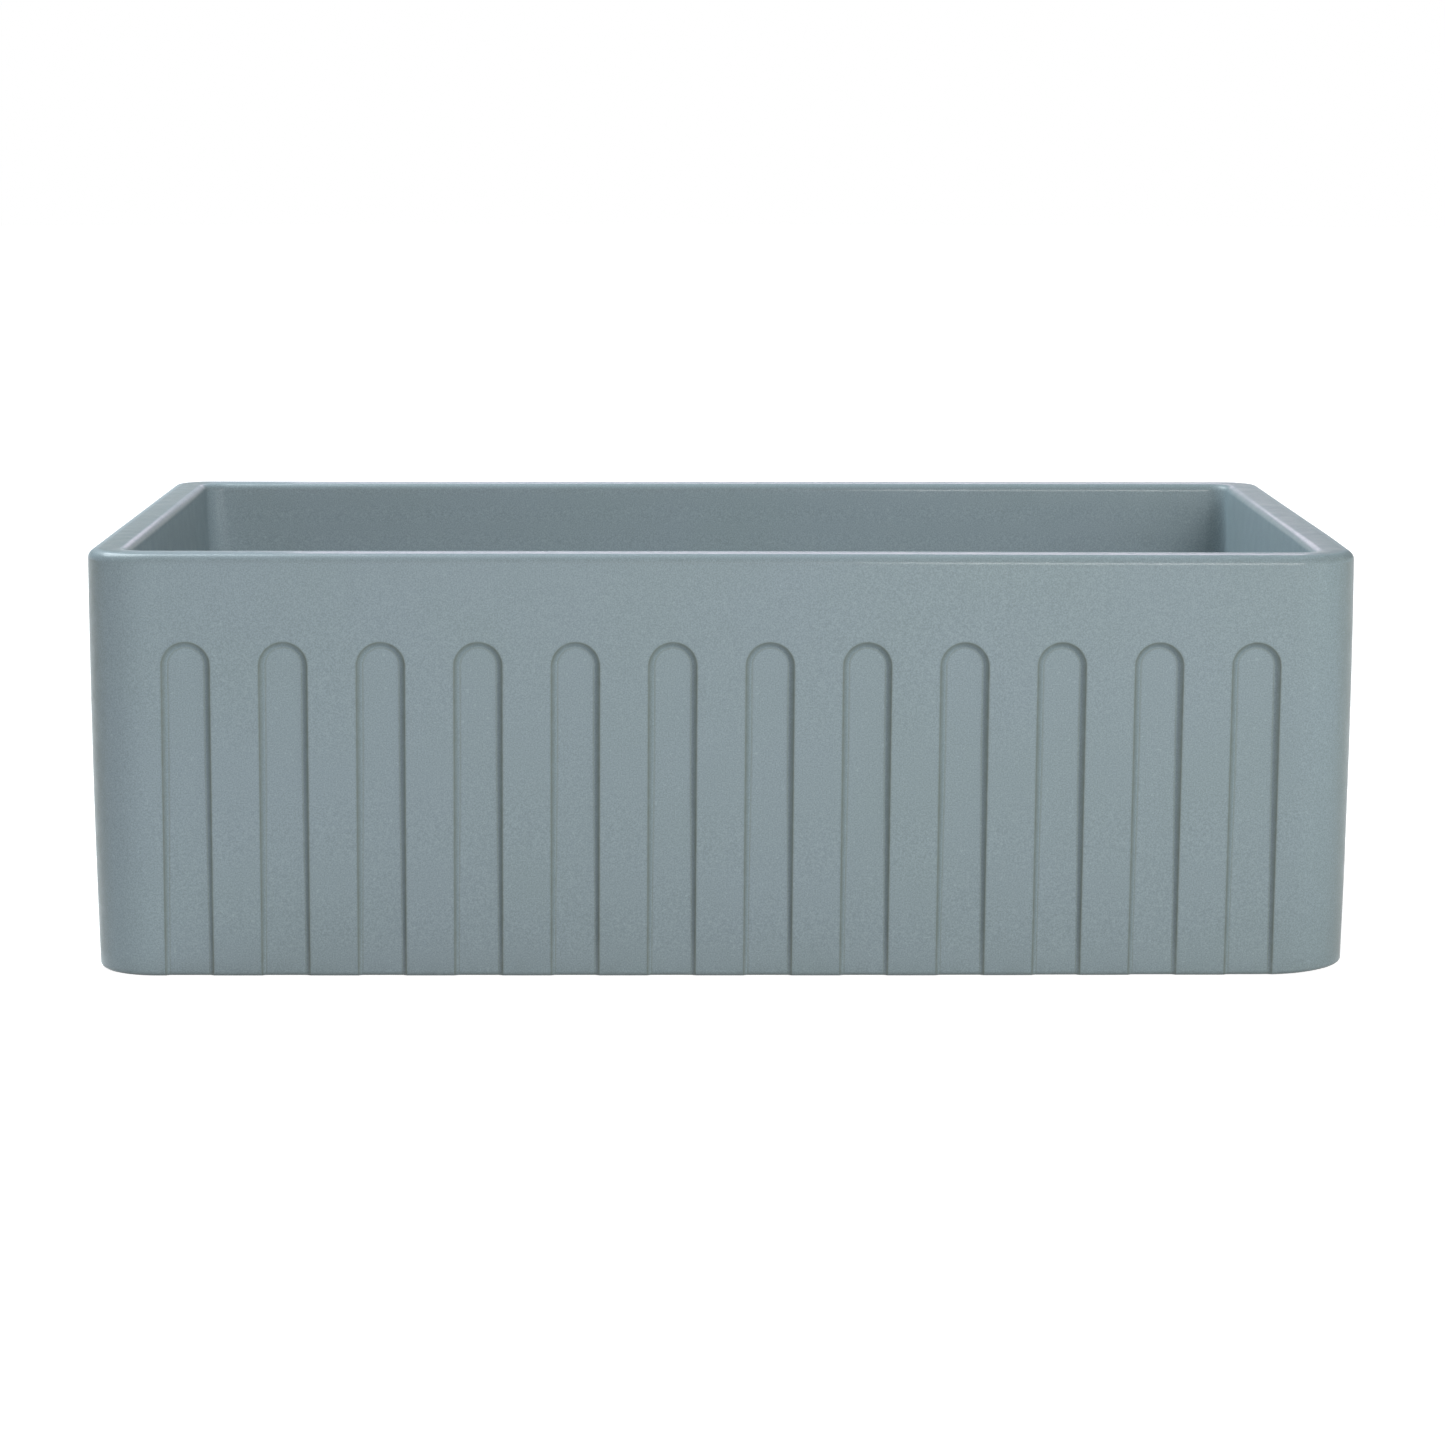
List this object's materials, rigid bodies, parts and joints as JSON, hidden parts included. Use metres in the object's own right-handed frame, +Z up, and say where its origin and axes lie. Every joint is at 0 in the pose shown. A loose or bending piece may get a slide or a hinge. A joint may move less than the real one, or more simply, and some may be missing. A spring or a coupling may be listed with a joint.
{
  "type": "farmhouse apron front sink",
  "caption": "Single bowl apron front kitchen sink in glazed fireclay with a fluted front, fitted with a lift-out basket strainer that has a pull-up stopper.",
  "frame": {"origin": "on the drain's axis, in the plane of the flat band round the underside that the cabinet's rails carry", "axes": "+X to the right along the front, -Y straight out of the fluted apron, +Z up"},
  "size_m": [0.757, 0.457, 0.294],
  "materials": {
    "glaze": "satin blue-grey glaze with a fine speckle",
    "putty": "matte bedding putty",
    "polished_steel": "satin stainless steel",
    "rubber": "matte black rubber",
    "fibre": "plain pressed fibre",
    "nut_metal": "zinc plated cast metal",
    "washer_plastic": "natural polyethylene",
    "bright_brass": "chrome plated brass",
    "spring_steel": "bright stainless steel"
  },
  "bodies": {
    "sink": {"basin": "glaze", "flange_putty": "putty", "strainer_body": "polished_steel", "rubber_gasket": "rubber", "friction_ring": "fibre", "lock_nut": "nut_metal", "tailpiece_washer": "washer_plastic", "coupling_nut": "nut_metal"},
    "basket": {"basket": "polished_steel", "basket_hub": "bright_brass", "detent_ring": "spring_steel"},
    "stopper": {"stopper_rod": "spring_steel", "lift_knob": "bright_brass", "stopper_plate": "polished_steel", "stopper_seal": "rubber", "seal_washer": "spring_steel", "retaining_nut": "spring_steel"}
  },
  "joints": [
    {"name": "basket_lift", "type": "slide", "parent": "sink", "child": "basket", "axis": [0, 0, 1], "range_m": [0, 0.29]},
    {"name": "stopper_lift", "type": "slide", "parent": "basket", "child": "stopper", "axis": [0, 0, 1], "range_m": [0, 0.008]}
  ]
}
